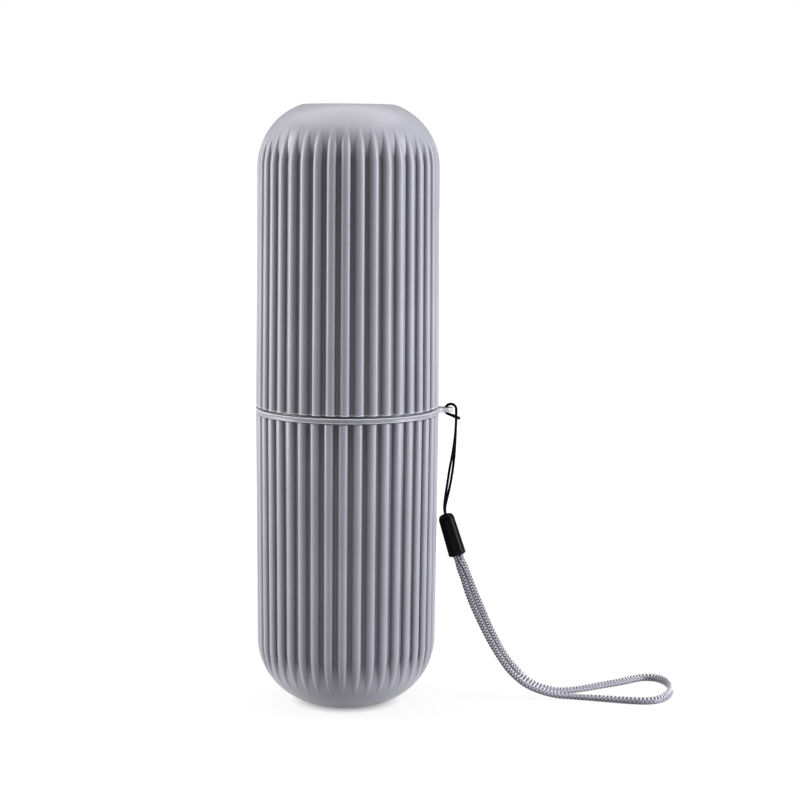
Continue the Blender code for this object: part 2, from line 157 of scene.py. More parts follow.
# ------------------------------------------------------------------ meshes
def skin(name, rows, wrap=True):
    """A mesh over a grid of points, rows x columns x 3, in mm.

    The columns go round and close. A first or last row whose points coincide becomes one point.
    wrap joins the last row to the first, as round a closed section. Faces end up facing outwards.
    """
    count, across = rows.shape[:2]
    points = rows.reshape(-1, 3).astype(float)
    index = np.arange(count * across).reshape(count, across)
    for row in (0, -1):
        if not wrap and np.ptp(rows[row], axis=0).max() < 1e-6:
            index[row] = index[row, 0]
    low = index if wrap else index[:-1]
    high = np.roll(index, -1, axis=0) if wrap else index[1:]
    quads = np.stack(
        [low, np.roll(low, -1, axis=1), np.roll(high, -1, axis=1), high], axis=-1
    ).reshape(-1, 4)
    a, b, c, d = (points[quads[:, k]] for k in range(4))
    volume = (np.cross(a, b) * c).sum() + (np.cross(a, c) * d).sum()
    if volume < 0:
        quads = quads[:, ::-1]
    used, quads = np.unique(quads, return_inverse=True)
    quads = quads.reshape(-1, 4)
    faces = [tuple(dict.fromkeys(face)) for face in quads.tolist()]
    mesh = bpy.data.meshes.new(name)
    mesh.from_pydata((points[used] * MM).tolist(), [], faces)
    mesh.shade_smooth()
    mesh.update()
    return mesh, used


def place(name, mesh, material, body, slot, *nodes):
    """Adds a finished piece, which rides on a body and stands for CAD nodes."""
    piece = bpy.data.objects.new(name, mesh)
    scene.collection.objects.link(piece)
    mesh.materials.append(material)
    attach(piece, body)
    if nodes:
        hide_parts(*nodes)
    return piece


def store(mesh, name, values):
    """Keeps one number per point under a name, for a material to read."""
    attribute = mesh.attributes.new(name, "FLOAT", "POINT")
    attribute.data.foreach_set("value", np.asarray(values, np.float32))


def arc(centre_r, centre_z, radius, start, end, steps):
    """Points (r, z) on an arc, from one angle to another, in degrees. 90 points up."""
    angle = np.radians(np.linspace(start, end, steps + 1))
    return np.stack([centre_r + radius * np.cos(angle), centre_z + radius * np.sin(angle)], 1)


def smooth_step(x):
    """0 below 0, 1 above 1, and 3 x^2 - 2 x^3 between."""
    x = np.clip(x, 0.0, 1.0)
    return x * x * (3 - 2 * x)


# ------------------------------------------------------------------ materials
def colour(hex_code):
    """sRGB hex to linear, with alpha."""
    parts = [int(hex_code[i:i + 2], 16) / 255 for i in (1, 3, 5)]
    return [p / 12.92 if p <= 0.04045 else ((p + 0.055) / 1.055) ** 2.4 for p in parts] + [1.0]


def add(tree, kind, settings=None, **links):
    """Adds a node. settings fills its properties or sockets, and links joins its sockets.

    A link is named for its socket, with _ for a space, or i and the socket's number, and gives
    the output that feeds it.
    """
    node = tree.nodes.new("ShaderNode" + kind)
    for key, value in (settings or {}).items():
        if isinstance(key, int) or key in node.inputs:
            node.inputs[key].default_value = value
        else:
            setattr(node, key, value)
    for key, output in links.items():
        numbered = key[0] == "i" and key[1:].isdigit()
        tree.links.new(output, node.inputs[int(key[1:]) if numbered else key.replace("_", " ")])
    return node


def new_material(name, **settings):
    """A Principled material of plain settings, and the tree and shader to build on."""
    material = bpy.data.materials.new(name)
    material.use_nodes = True
    tree = material.node_tree
    shader = tree.nodes["Principled BSDF"]
    for key, value in settings.items():
        shader.inputs[key.replace("_", " ")].default_value = value
    return material, tree, shader


def moulded_polypropylene():
    """The shells: polypropylene, injection moulded in a finely spark-eroded tool.

    The eye gets a soft, even satin with a faint cloud of shade, and no sharp reflection. depth is
    1 at the bottom of a flute, which gets painted shade, a little darker, and pale is 1 on the
    rim's edge, which gets a painted highlight. The real grain is about 0.05 mm, too fine to show,
    so it is drawn at 0.35 mm and kept very low.
    """
    material, tree, shader = new_material("moulded_lilac_polypropylene", Roughness=0.32, IOR=1.49)
    place_at = add(tree, "TexCoord").outputs["Object"]
    cloud = add(tree, "TexNoise", {"Scale": 1 / 0.024, "Detail": 3.0, "Roughness": 0.55},
                Vector=place_at)
    shade = add(tree, "ValToRGB", Fac=cloud.outputs["Fac"])
    shade.color_ramp.elements[0].position, shade.color_ramp.elements[1].position = 0.3, 0.7
    shade.color_ramp.elements[0].color = colour("#B3B2BA")
    shade.color_ramp.elements[1].color = colour("#BBBAC2")
    # Painted shade: the flutes get darker towards their bottoms, where depth nears 1.
    depth = add(tree, "Attribute", {"attribute_name": "depth"})
    groove_shade = add(tree, "ValToRGB", Fac=depth.outputs["Fac"])
    groove_shade.color_ramp.elements[0].position = 0.15
    groove_shade.color_ramp.elements[0].color = colour("#FFFFFF")
    groove_shade.color_ramp.elements[1].color = colour("#B9B7B9")
    both = add(tree, "MixRGB", {"blend_type": "MULTIPLY", "Fac": 1.0},
               Color1=shade.outputs["Color"], Color2=groove_shade.outputs["Color"])
    # Painted highlight: the rim's edge, where pale is 1, is near white.
    pale = add(tree, "Attribute", {"attribute_name": "pale"})
    edged = add(tree, "MixRGB", {"Color2": colour("#FAFAFC")},
                Fac=pale.outputs["Fac"], Color1=both.outputs["Color"])
    tree.links.new(edged.outputs["Color"], shader.inputs["Base Color"])
    grain = add(tree, "TexNoise", {"Scale": 1 / 0.00035, "Detail": 2.0}, Vector=place_at)
    bump = add(tree, "Bump", {"Strength": 0.10, "Distance": 0.00004}, Height=grain.outputs["Fac"])
    tree.links.new(bump.outputs["Normal"], shader.inputs["Normal"])
    return material


def milky_elastomer():
    """The lanyard ring: a soft thermoplastic elastomer, moulded, with a thin flash on its edges.

    It lets a little light in, and its surface is a bit glossier than the shells'. flash is 1 on
    the thin line of flash along its edges, which gets a painted highlight, paler than its faces.
    """
    material, tree, shader = new_material(
        "milky_moulded_elastomer", Roughness=0.34, IOR=1.50,
        Subsurface_Weight=0.15, Subsurface_Scale=0.0005,
    )
    shader.inputs["Subsurface Radius"].default_value = (1.0, 0.95, 0.95)
    place_at = add(tree, "TexCoord").outputs["Object"]
    cloud = add(tree, "TexNoise", {"Scale": 1 / 0.0045, "Detail": 3.0}, Vector=place_at)
    shade = add(tree, "ValToRGB", Fac=cloud.outputs["Fac"])
    shade.color_ramp.elements[0].position, shade.color_ramp.elements[1].position = 0.3, 0.7
    shade.color_ramp.elements[0].color = colour("#A3A2A9")
    shade.color_ramp.elements[1].color = colour("#B5B4BB")
    # Painted highlight: the edges, where flash is 1, are near white.
    flash_and_highlight = add(tree, "Attribute", {"attribute_name": "flash_and_highlight"})
    both = add(tree, "MixRGB", {"Color2": colour("#F6F6F8")},
               Fac=flash_and_highlight.outputs["Fac"], Color1=shade.outputs["Color"])
    tree.links.new(both.outputs["Color"], shader.inputs["Base Color"])
    ripple = add(tree, "TexNoise", {"Scale": 1 / 0.0011, "Detail": 2.0}, Vector=place_at)
    bump = add(tree, "Bump", {"Strength": 0.25, "Distance": 0.00008}, Height=ripple.outputs["Fac"])
    tree.links.new(bump.outputs["Normal"], shader.inputs["Normal"])
    return material


def twisted_polyester(name, dark, light, roughness):
    """A thin polyester cord. relief is the height of its plied yarns; the creases get painted
    shade.
    """
    material, tree, shader = new_material(
        name, Roughness=roughness, IOR=1.55, Specular_IOR_Level=0.06
    )
    relief = add(tree, "Attribute", {"attribute_name": "relief"})
    shade = add(tree, "MixRGB", {"Color1": colour(dark), "Color2": colour(light)},
                Fac=relief.outputs["Fac"])
    tree.links.new(shade.outputs["Color"], shader.inputs["Base Color"])
    place_at = add(tree, "TexCoord").outputs["Object"]
    fibre = add(tree, "TexNoise", {"Scale": 1 / 0.00012, "Detail": 2.0}, Vector=place_at)
    bump = add(tree, "Bump", {"Strength": 0.3, "Distance": 0.00003}, Height=fibre.outputs["Fac"])
    tree.links.new(bump.outputs["Normal"], shader.inputs["Normal"])
    return material


def braided_nylon():
    """The wrist strap: a flat tubular braid of bright nylon yarn, woven.

    relief is the height of the yarns, and the gaps between them get painted shade. lustre is high
    where the yarns lie tightest, and there they get painted highlights, white flecks, with painted
    shade, near black, in the gaps. The real yarn is about 0.2 mm, too fine to show, so a cell of
    the braid is drawn over 1 mm long.
    """
    material, tree, shader = new_material("braided_grey_nylon", Roughness=0.36, IOR=1.56)
    shader.inputs["Sheen Weight"].default_value = 0.1
    relief = add(tree, "Attribute", {"attribute_name": "relief"})
    fleck_highlight = add(tree, "Attribute", {"attribute_name": "fleck_highlight"})
    # Painted shade: the gaps between the yarns are darker.
    yarn = add(tree, "ValToRGB", Fac=relief.outputs["Fac"])
    yarn.color_ramp.elements[0].position, yarn.color_ramp.elements[1].position = 0.32, 0.62
    yarn.color_ramp.elements[0].color = colour("#7E7C87")
    yarn.color_ramp.elements[1].color = colour("#BCBAC5")
    # Painted highlight and shade: white on the yarns' crests, near black in the gaps.
    fleck = add(tree, "ValToRGB", Fac=relief.outputs["Fac"])
    fleck.color_ramp.elements[0].position, fleck.color_ramp.elements[1].position = 0.30, 0.52
    fleck.color_ramp.elements[0].color = colour("#1B1A20")
    fleck.color_ramp.elements[1].color = colour("#F4F3F8")
    mixed = add(tree, "MixRGB", Fac=fleck_highlight.outputs["Fac"],
                Color1=yarn.outputs["Color"], Color2=fleck.outputs["Color"])
    place_at = add(tree, "TexCoord").outputs["Object"]
    fibre = add(tree, "TexNoise", {"Scale": 1 / 0.00018, "Detail": 2.0}, Vector=place_at)
    tint = add(tree, "ValToRGB", Fac=fibre.outputs["Fac"])
    tint.color_ramp.elements[0].color = colour("#ECECEC")
    tint.color_ramp.elements[1].color = colour("#FFFFFF")
    both = add(tree, "MixRGB", {"blend_type": "MULTIPLY", "Fac": 1.0},
               Color1=mixed.outputs["Color"], Color2=tint.outputs["Color"])
    tree.links.new(both.outputs["Color"], shader.inputs["Base Color"])
    bump = add(tree, "Bump", {"Strength": 0.4, "Distance": 0.00005}, Height=fibre.outputs["Fac"])
    tree.links.new(bump.outputs["Normal"], shader.inputs["Normal"])
    return material


def moulded_black_plastic():
    """The cord sleeve: black ABS, moulded, which gives a deep black with a faint, uneven satin."""
    material, tree, shader = new_material(
        "black_moulded_abs", Roughness=0.34, IOR=1.5, Specular_IOR_Level=0.10
    )
    place_at = add(tree, "TexCoord").outputs["Object"]
    cloud = add(tree, "TexNoise", {"Scale": 1 / 0.002, "Detail": 4.0}, Vector=place_at)
    shade = add(tree, "ValToRGB", Fac=cloud.outputs["Fac"])
    shade.color_ramp.elements[0].color = colour("#010101")
    shade.color_ramp.elements[1].color = colour("#060607")
    tree.links.new(shade.outputs["Color"], shader.inputs["Base Color"])
    bump = add(tree, "Bump", {"Strength": 0.25, "Distance": 0.00006}, Height=cloud.outputs["Fac"])
    tree.links.new(bump.outputs["Normal"], shader.inputs["Normal"])
    return material


shell_finish = moulded_polypropylene()
ring_finish = milky_elastomer()
loop_finish = twisted_polyester("black_twisted_polyester", "#010101", "#050506", 0.62)
splice_finish = twisted_polyester("dark_whipping_thread", "#101013", "#34343A", 0.7)
sleeve_finish = moulded_black_plastic()
strap_finish = braided_nylon()


# ------------------------------------------------------------------ cords
def smooth_path(knots, spacing):
    """Points on a Catmull-Rom curve through the knots, about spacing apart, and the run to each.

    Columns after the first three are carried along in the same way.
    """
    knots = np.asarray(knots, float)
    padded = np.vstack([2 * knots[0] - knots[1], knots, 2 * knots[-1] - knots[-2]])
    pieces = []
    for a, b, c, d in zip(padded, padded[1:], padded[2:], padded[3:]):
        t = np.linspace(0, 1, 24, endpoint=False)[:, None]
        pieces.append(
            (b * 2 + (c - a) * t + (a * 2 - b * 5 + c * 4 - d) * t ** 2
             + (b * 3 - a - c * 3 + d) * t ** 3) / 2
        )
    fine = np.vstack(pieces + [knots[-1:]])
    run = np.concatenate([[0], np.cumsum(np.linalg.norm(np.diff(fine[:, :3], axis=0), axis=1))])
    count = int(round(run[-1] / spacing)) + 1
    at = np.linspace(0, run[-1], count)
    return np.stack([np.interp(at, run, column) for column in fine.T], 1), at


def tangents(path):
    """The unit direction of the path at each of its points."""
    along = np.gradient(path, axis=0)
    return along / np.linalg.norm(along, axis=1, keepdims=True)


def carried_frames(path):
    """Two directions across the path at each point, carried along it without twisting."""
    along = tangents(path)
    side = np.empty_like(path)
    side[0] = np.cross(along[0], (0.0, 1.0, 0.0))
    for i in range(1, len(path)):
        side[i] = side[i - 1] - along[i] * (side[i - 1] @ along[i])
        side[i] /= np.linalg.norm(side[i])
    side[0] /= np.linalg.norm(side[0])
    return side, np.cross(along, side)


def loop_knots():
    """The whole thin cord: up the front strand, over the lug, round the bight and back down."""
    front, back = [], []
    for x, z, half_x, half_y in THIN_STRANDS:
        front.append((x - half_x, -half_y, z))
        back.append((x + half_x, half_y, z))
    half_y = THIN_STRANDS[-1][3]
    for degrees in WRAP_ANGLES:
        x = LUG_BAR_MIDDLE + WRAP_RADIUS * cos(radians(degrees))
        z = RING_MIDDLE + WRAP_RADIUS * sin(radians(degrees))
        front.append((x, -half_y, z))
        back.append((x, half_y, z))
    for x, z, half_y in BIGHT:
        front.append((x, -half_y, z))
        back.append((x, half_y, z))
    return front + back[::-1]


def capped(rows, path):
    """The rows of a tube, with a point at each end that closes it."""
    ends = [np.repeat(path[i][None, None], rows.shape[1], axis=1) for i in (0, -1)]
    return np.concatenate([ends[0], rows, ends[1]])


def make_thin_cord():
    """A round tube on the loop's path, with three plies that turn as they go.

    relief is |cos(1.5 (angle - turn))|, where turn grows along the cord, and the radius is least,
    by 8 percent, where relief is 0.
    """
    path, run = smooth_path(loop_knots(), 0.17)
    side, up = carried_frames(path)
    angle = np.linspace(0, 2 * pi, 14, endpoint=False)
    turn = 2 * pi * run[:, None] / PLY_TURN
    relief = np.abs(np.cos(1.5 * (angle - turn)))
    radius = LOOP_DRAWN_RADIUS - 0.06 * LOOP_DIAMETER * (1 - relief)
    rows = path[:, None] + radius[..., None] * (
        side[:, None] * np.cos(angle)[:, None] + up[:, None] * np.sin(angle)[:, None]
    )
    mesh, used = skin("thin_cord", capped(rows, path), wrap=False)
    relief = np.concatenate([relief[:1], relief, relief[-1:]])
    store(mesh, "relief", relief.reshape(-1)[used])
    piece = place("thin_cord", mesh, loop_finish, "lanyard", "thin_cord", "hang_loop")
    return piece, path, run[-1]


def make_strap():
    """A flat tubular braid on the strap's path.

    Its section is a superellipse of the strap's width and thickness, turned by the fourth column
    of the table. Two families of yarns cross at plus and minus one cell per cell round, so that in
    cell (i, j) the family on top is given by whether i + j is odd. A yarn is a half sine across
    and bulges along, which gives the relief. The cells are wider where they turn over the edges.
    Where the strap lies on the ground, slanting stitches run along its upper edge, with bright yarn
    and dark gap in turn, a painted highlight and painted shade: 0.5 + 0.5 cos(2 pi run / STITCH
    + 2.4 sin(angle)). Where it hangs, the whole face is brighter, with painted highlights, and a
    painted shadow line runs down just inside each edge.
    """
    path, run = smooth_path(STRAP, 0.20)
    twist = np.radians(path[:, 3])
    path = path[:, :3]
    along = tangents(path)
    level = np.cross(along, (0.0, 0.0, 1.0))
    level /= np.linalg.norm(level, axis=1, keepdims=True)
    upward = np.cross(level, along)
    wide = level * np.cos(twist)[:, None] + upward * np.sin(twist)[:, None]
    thin = np.cross(along, wide)

    length = run[-1]
    from_end = np.minimum(run, length - run) - STRAP_SPLICE_UP
    grown = smooth_step(from_end / STRAP_SWELL)[:, None]
    half_wide = STRAP_DRAWN / 2 * (STRAP_PINCHED + (STRAP_WIDTH - STRAP_PINCHED) * grown)
    half_thin = STRAP_DRAWN / 2 * (STRAP_PINCHED + (STRAP_THICKNESS - STRAP_PINCHED) * grown)

    # On the ground the strap's lowest side is 0.05 mm up, whichever way it is turned.
    reach_down = np.hypot(half_wide[:, 0] * wide[:, 2], half_thin[:, 0] * thin[:, 2])
    lower_by = (STRAP_GROUND_HEIGHT - reach_down - 0.05) * smooth_step((3.5 - path[:, 2]) / 2.1)
    path = path - lower_by[:, None] * np.array([0.0, 0.0, 1.0])
    on_ground = 1 - smooth_step((path[:, 2:3] - LIFT_OFF) / (HANGS_FROM - LIFT_OFF))

    # a and b count the cells along the two families of yarns.
    angle = np.linspace(0, 2 * pi, 56, endpoint=False)
    cosine, sine = np.cos(angle), np.sin(angle)
    cell = CELL_HANGING + (CELL_ON_GROUND - CELL_HANGING) * on_ground[:, 0]
    cells = np.cumsum(np.gradient(run) / cell)[:, None]
    round_at = CELLS_ROUND * (angle - 0.12 * np.sin(2 * angle)) / (2 * pi)
    a, b = cells + round_at, cells - round_at
    first_on_top = (np.floor(a) + np.floor(b)) % 2 == 0
    across = np.where(first_on_top, a % 1, b % 1)
    lengthwise = np.where(first_on_top, b % 1, a % 1)
    relief = np.sin(pi * across) ** 0.8 * np.sin(pi * lengthwise) ** 0.6

    # The stitches, and the surface they and the braid give. The painted highlights and shade are
    # strong on the upper edge on the ground, and at 0.7 where the strap hangs.
    upper_edge = smooth_step((cosine + 0.12) / 0.30) * on_ground
    fleck_highlight = upper_edge + 0.70 * (1 - on_ground)
    stitch = 0.50 + 0.50 * np.cos(2 * pi * run[:, None] / STITCH + 2.4 * sine)
    relief = relief + (stitch - relief) * upper_edge
    depth = (0.10 + 0.24 * fleck_highlight) * (relief - 0.7)
    wide_out = (half_wide + depth) * np.sign(cosine) * np.abs(cosine) ** 0.9
    thin_out = (half_thin + depth) * np.sign(sine) * np.abs(sine) ** 0.9
    rows = path[:, None] + wide_out[..., None] * wide[:, None] + thin_out[..., None] * thin[:, None]

    # Painted shadow lines, where the strands shade each other, of which the front strand's is wider
    # on the side of the back strand.
    starts = np.where((run[:, None] > length / 2) | (cosine < 0), 0.78, 0.42)
    toward_edge = np.abs(cosine)
    line = smooth_step((toward_edge - starts) / 0.12) * smooth_step((0.97 - toward_edge) / 0.08)
    line = line * (1 - on_ground)
    relief = relief * (1 - 0.8 * line)
    fleck_highlight = fleck_highlight + (1 - fleck_highlight) * line
    mesh, used = skin("braided_strap", capped(rows, path), wrap=False)
    for name, values in (("relief", relief), ("fleck_highlight", np.broadcast_to(fleck_highlight, relief.shape))):
        store(mesh, name, np.concatenate([values[:1], values, values[-1:]]).reshape(-1)[used])
    piece = place("braided_strap", mesh, strap_finish, "lanyard", "braid", "wrist_strap")
    return piece, path, length


thin_cord, thin_path, thin_length = make_thin_cord()
strap, strap_path, strap_length = make_strap()

# The splice is hidden in the sleeve, so the CAD's own solid is kept and gets a finish.
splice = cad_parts["cord_splice"]
splice.data.materials.clear()
splice.data.materials.append(splice_finish)
store(splice.data, "relief", np.full(len(splice.data.vertices), 0.6))


# ------------------------------------------------------------------ sleeve
CROWN = 2.2         # height of the sleeve's rounded top
TOP_HOLE = 1.25     # radius of the hole that the thin cord goes through


def make_sleeve():
    """The sleeve's section (r, z) turned round its axis, then leant and moved to where it hangs.

    Outside it narrows straight up from the mouth. Its crown is a quarter of a superellipse: from
    TOP_HOLE outwards with cos(t)^0.8 and up with sin(t)^0.9.
    """
    top, mouth_r, top_r = SLEEVE_LENGTH, SLEEVE_MOUTH_RADIUS, SLEEVE_TOP_RADIUS
    shoulder = np.radians(np.linspace(0, 90, 13))
    outer = np.concatenate([
        [(mouth_r - 0.22, 0.0), (mouth_r - 0.06, 0.06), (mouth_r, 0.25)],
        [(mouth_r + (top_r - mouth_r) * t, (top - CROWN) * t) for t in (0.25, 0.5, 0.75)],
        np.stack([TOP_HOLE + (top_r - TOP_HOLE) * np.cos(shoulder) ** 0.8,
                  top - CROWN + CROWN * np.sin(shoulder) ** 0.9], 1),
    ])
    inner = np.array([
        (TOP_HOLE, top - 0.3), (TOP_HOLE, top - 2.0), (2.2, top - 3.1),
        (2.45, 3.0), (2.5, 0.25), (2.62, 0.0),
    ])
    section = np.concatenate([outer, inner])
    angle = np.linspace(0, 2 * pi, 64, endpoint=False)
    rows = np.stack([
        section[:, :1] * np.cos(angle), section[:, :1] * np.sin(angle),
        np.broadcast_to(section[:, 1:], (len(section), len(angle))),
    ], -1)
    turn = np.array(Matrix.Rotation(-SLEEVE_LEAN, 3, "Y"))
    mesh, _ = skin("barrel_sleeve", rows @ turn.T + np.array(SLEEVE_MOUTH))
    mesh.set_sharp_from_angle(angle=radians(50))
    return place("barrel_sleeve", mesh, sleeve_finish, "lanyard", "sleeve", "cord_sleeve")


sleeve = make_sleeve()


# ------------------------------------------------------------------ shells
REED_SHARE = 0.70                # of half a pitch, from the middle of a reed to its foot
RUN_OUT = (9.5, 44.0)            # up the dome's arc, in degrees, where the grooves run out
WALL, NECK_WALL = 1.6, 1.3       # under the grooves, and of the neck
TOP_WALL, CUP_FLOOR = 1.8, 2.2   # under the cover's flat, and over the cup's
TOP_ARC, FLOOR_ARC = 19.0, 17.0  # radii of the rounded ends of the two cavities


def columns():
    """Phases of a pitch's columns, closer together on the sides of the reed, where it turns."""
    half = np.array([0, 0.14, 0.27, 0.38, 0.47, 0.54, 0.60, 0.65, 0.70, 0.76, 0.86])
    return np.concatenate([half, [1.0], 2 - half[:0:-1]]) / 2


def reed_depth(phase):
    """How deep the surface lies below the top of a reed, at a phase of 0 to 1 round one pitch.

    With x from 0 in the middle of a reed to 1 at the foot of its side, it is FLUTE_DEPTH times
    1 - sqrt(1 - x^2.2), a full arch. Past its foot lies a flat floor.
    """
    x = np.abs(phase - np.round(phase)) * 2 / REED_SHARE
    return FLUTE_DEPTH * (1 - np.sqrt(np.clip(1 - x ** 2.2, 0, None)))


def soft_least(a, b, soft=0.10):
    """The smaller of two depths, with the corner between them rounded.

    It is b (1 - h) + a h - soft h (1 - h), where h goes from 0 to 1 as a falls past b.
    """
    h = np.clip(0.5 + 0.5 * (b - a) / soft, 0, 1)
    return b * (1 - h) + a * h - soft * h * (1 - h)


def shell(name, outer, climb, side, inner, turn, material, body, node, pale_rows=0):
    """A fluted shell: one surface from the pole outside, over the rim, to the pole inside.

    outer is the section's points (r, z) with the climb up the dome's arc at each, and inner goes
    on from the rim. A point of the outer side moves inwards, along the normal of the dome's arc,
    by the least of the reed's depth and the depth that is left there: FLUTE_DEPTH (1 - t)^2, with
    t from 0 to 1 between the angles of RUN_OUT. pale is 1 on the last pale_rows rows of the outer
    side, the edge of the rim, which gets a painted highlight.
    """
    phase = columns()
    angle = (np.arange(RIBS)[:, None] + phase[None]).reshape(-1) * 2 * pi / RIBS
    depth = np.tile(reed_depth(phase), RIBS)
    gone = (np.degrees(climb) - RUN_OUT[0]) / (RUN_OUT[1] - RUN_OUT[0])
    left = FLUTE_DEPTH * np.clip(1 - gone, 0, 1)[:, None] ** 2
    press = np.where(left <= 0, 0.0, np.clip(soft_least(depth[None], left), 0, None))
    r = outer[:, :1] - press * np.cos(climb)[:, None]
    z = outer[:, 1:] - side * press * np.sin(climb)[:, None]
    r = np.concatenate([r, np.broadcast_to(inner[:, :1], (len(inner), len(angle)))])
    z = np.concatenate([z, np.broadcast_to(inner[:, 1:], (len(inner), len(angle)))])
    bearing = angle + turn
    rows = np.stack([r * np.sin(bearing), -r * np.cos(bearing), z], -1)
    mesh, used = skin(name, rows, wrap=False)
    # depth also gives the flutes their painted shade, through the material.
    depth = np.zeros(r.shape)
    depth[:len(press)] = press / FLUTE_DEPTH
    store(mesh, "depth", depth.reshape(-1)[used])
    # The rim's last rows get a painted highlight.
    pale = np.zeros(r.shape)
    pale[len(press) - pale_rows:len(press)] = 1.0
    store(mesh, "pale", pale.reshape(-1)[used])
    mesh.set_sharp_from_angle(angle=radians(48))
    return place(name, mesh, material, body, "shell", node)


def dome(start_radius, arc_radius, flat, steps=34):
    """(r, height above the dome's start, climb) from the flat end down to the start of the dome.

    It is an arc that leaves the wall upright: after a climb of c, r has shrunk by arc_radius
    (1 - cos c), and the height is arc_radius sin c.
    """
    end = np.arccos((flat - start_radius + arc_radius) / arc_radius)
    climb = np.linspace(end, 0, steps + 1)
    return start_radius - arc_radius + arc_radius * np.cos(climb), arc_radius * np.sin(climb), climb


def make_cover():
    """The cover's section: flat, dome, wall and rim, then the socket, its seat and the cavity."""
    r, h, climb = dome(JOINT_RADIUS - COVER_TAPER, COVER_ARC, COVER_FLAT)
    start = CASE_HEIGHT - h[0]
    flat = [(0.0, CASE_HEIGHT), (COVER_FLAT * 0.6, CASE_HEIGHT), (COVER_FLAT - 0.8, CASE_HEIGHT)]
    wall = [
        (JOINT_RADIUS - COVER_TAPER * t, start + (RIM_HEIGHT - start) * (1 - t))
        for t in (0.66, 0.33)
    ]
    low = RIM_HEIGHT
    rim = [
        (JOINT_RADIUS, low + 0.42), (JOINT_RADIUS, low + 0.30), (JOINT_RADIUS - 0.04, low + 0.12),
        (JOINT_RADIUS - 0.12, low + 0.04), (JOINT_RADIUS - 0.30, low),
    ]
    outer = np.array(flat + list(zip(r, start + h)) + wall + rim)
    climbs = np.concatenate([[pi / 2] * len(flat), climb, [0.0] * (len(wall) + len(rim))])
    cavity_r = JOINT_RADIUS - COVER_TAPER - FLUTE_DEPTH - WALL
    top = CASE_HEIGHT - TOP_WALL
    seat = NECK_TOP + GAP
    inner = np.concatenate([
        [(SOCKET_RADIUS + 0.25, low), (SOCKET_RADIUS + 0.06, low + 0.06)],
        [(SOCKET_RADIUS, low + 0.25), (SOCKET_RADIUS, seat - 0.15)],
        [(SOCKET_RADIUS - 0.15, seat), (cavity_r + 0.4, seat)],
        arc(cavity_r - TOP_ARC, top - TOP_ARC, TOP_ARC, 0, 90, 16), [(0.0, top)],
    ])
    return shell("fluted_cover", outer, climbs, 1, inner, COVER_RIB_TURN, shell_finish,
                 "cover", "upper_cover", pale_rows=4)


def make_cup():
    """The cup's section: gate mark, flat, dome, wall and rim, then the neck, its bead and mouth,
    and the cavity down to its floor."""
    r, h, climb = dome(JOINT_RADIUS - CUP_TAPER, CUP_ARC, CUP_FLAT)
    start = h[0]
    gate = [(0.0, 0.12), (1.1, 0.12), (1.3, 0.0)]
    flat = gate + [(CUP_FLAT * 0.6, 0.0), (CUP_FLAT - 0.6, 0.0)]
    wall = [
        (JOINT_RADIUS - CUP_TAPER * (1 - t), start + (CUP_HEIGHT - start) * t)
        for t in (0.33, 0.66)
    ]
    rim = [
        (JOINT_RADIUS, CUP_HEIGHT - 0.35), (JOINT_RADIUS - 0.05, CUP_HEIGHT - 0.14),
        (JOINT_RADIUS - 0.14, CUP_HEIGHT - 0.05), (JOINT_RADIUS - 0.35, CUP_HEIGHT),
    ]
    outer = np.array(flat + list(zip(r, start - h)) + wall + rim)
    climbs = np.concatenate([[pi / 2] * len(flat), climb, [0.0] * (len(wall) + len(rim))])
    neck, mouth = NECK_RADIUS, NECK_RADIUS - NECK_WALL
    floor_r = mouth - 0.5
    bead = NECK_TOP - 4.0
    inner = np.concatenate([
        [(neck + 0.15, CUP_HEIGHT), (neck, CUP_HEIGHT + 0.15), (neck, bead - 0.6)],
        [(neck + 0.12, bead - 0.35), (neck + 0.15, bead), (neck + 0.12, bead + 0.35)],
        [(neck, bead + 0.6), (neck, NECK_TOP - 0.4), (neck - 0.12, NECK_TOP - 0.1)],
        [(neck - 0.35, NECK_TOP), (mouth + 0.3, NECK_TOP), (mouth + 0.08, NECK_TOP - 0.08)],
        [(mouth, NECK_TOP - 0.3)],
        arc(floor_r - FLOOR_ARC, CUP_FLOOR + FLOOR_ARC, FLOOR_ARC, 0, -90, 14),
        [(0.0, CUP_FLOOR)],
    ])
    return shell("fluted_cup", outer, climbs, -1, inner, CUP_RIB_TURN, shell_finish,
                 "cup", "lower_cup")


make_cover()
make_cup()


# ------------------------------------------------------------------ ring
def rounded_section(inner_r, outer_r, low, high, edge, steps=4):
    """A closed section (r, z) with all four corners rounded."""
    parts = []
    for corner_r, corner_z, start in (
        (outer_r - edge, high - edge, 90), (outer_r - edge, low + edge, 0),
        (inner_r + edge, low + edge, -90), (inner_r + edge, high - edge, -180),
    ):
        parts.append(arc(corner_r, corner_z, edge, start, start - 90, steps))
    return np.concatenate(parts)


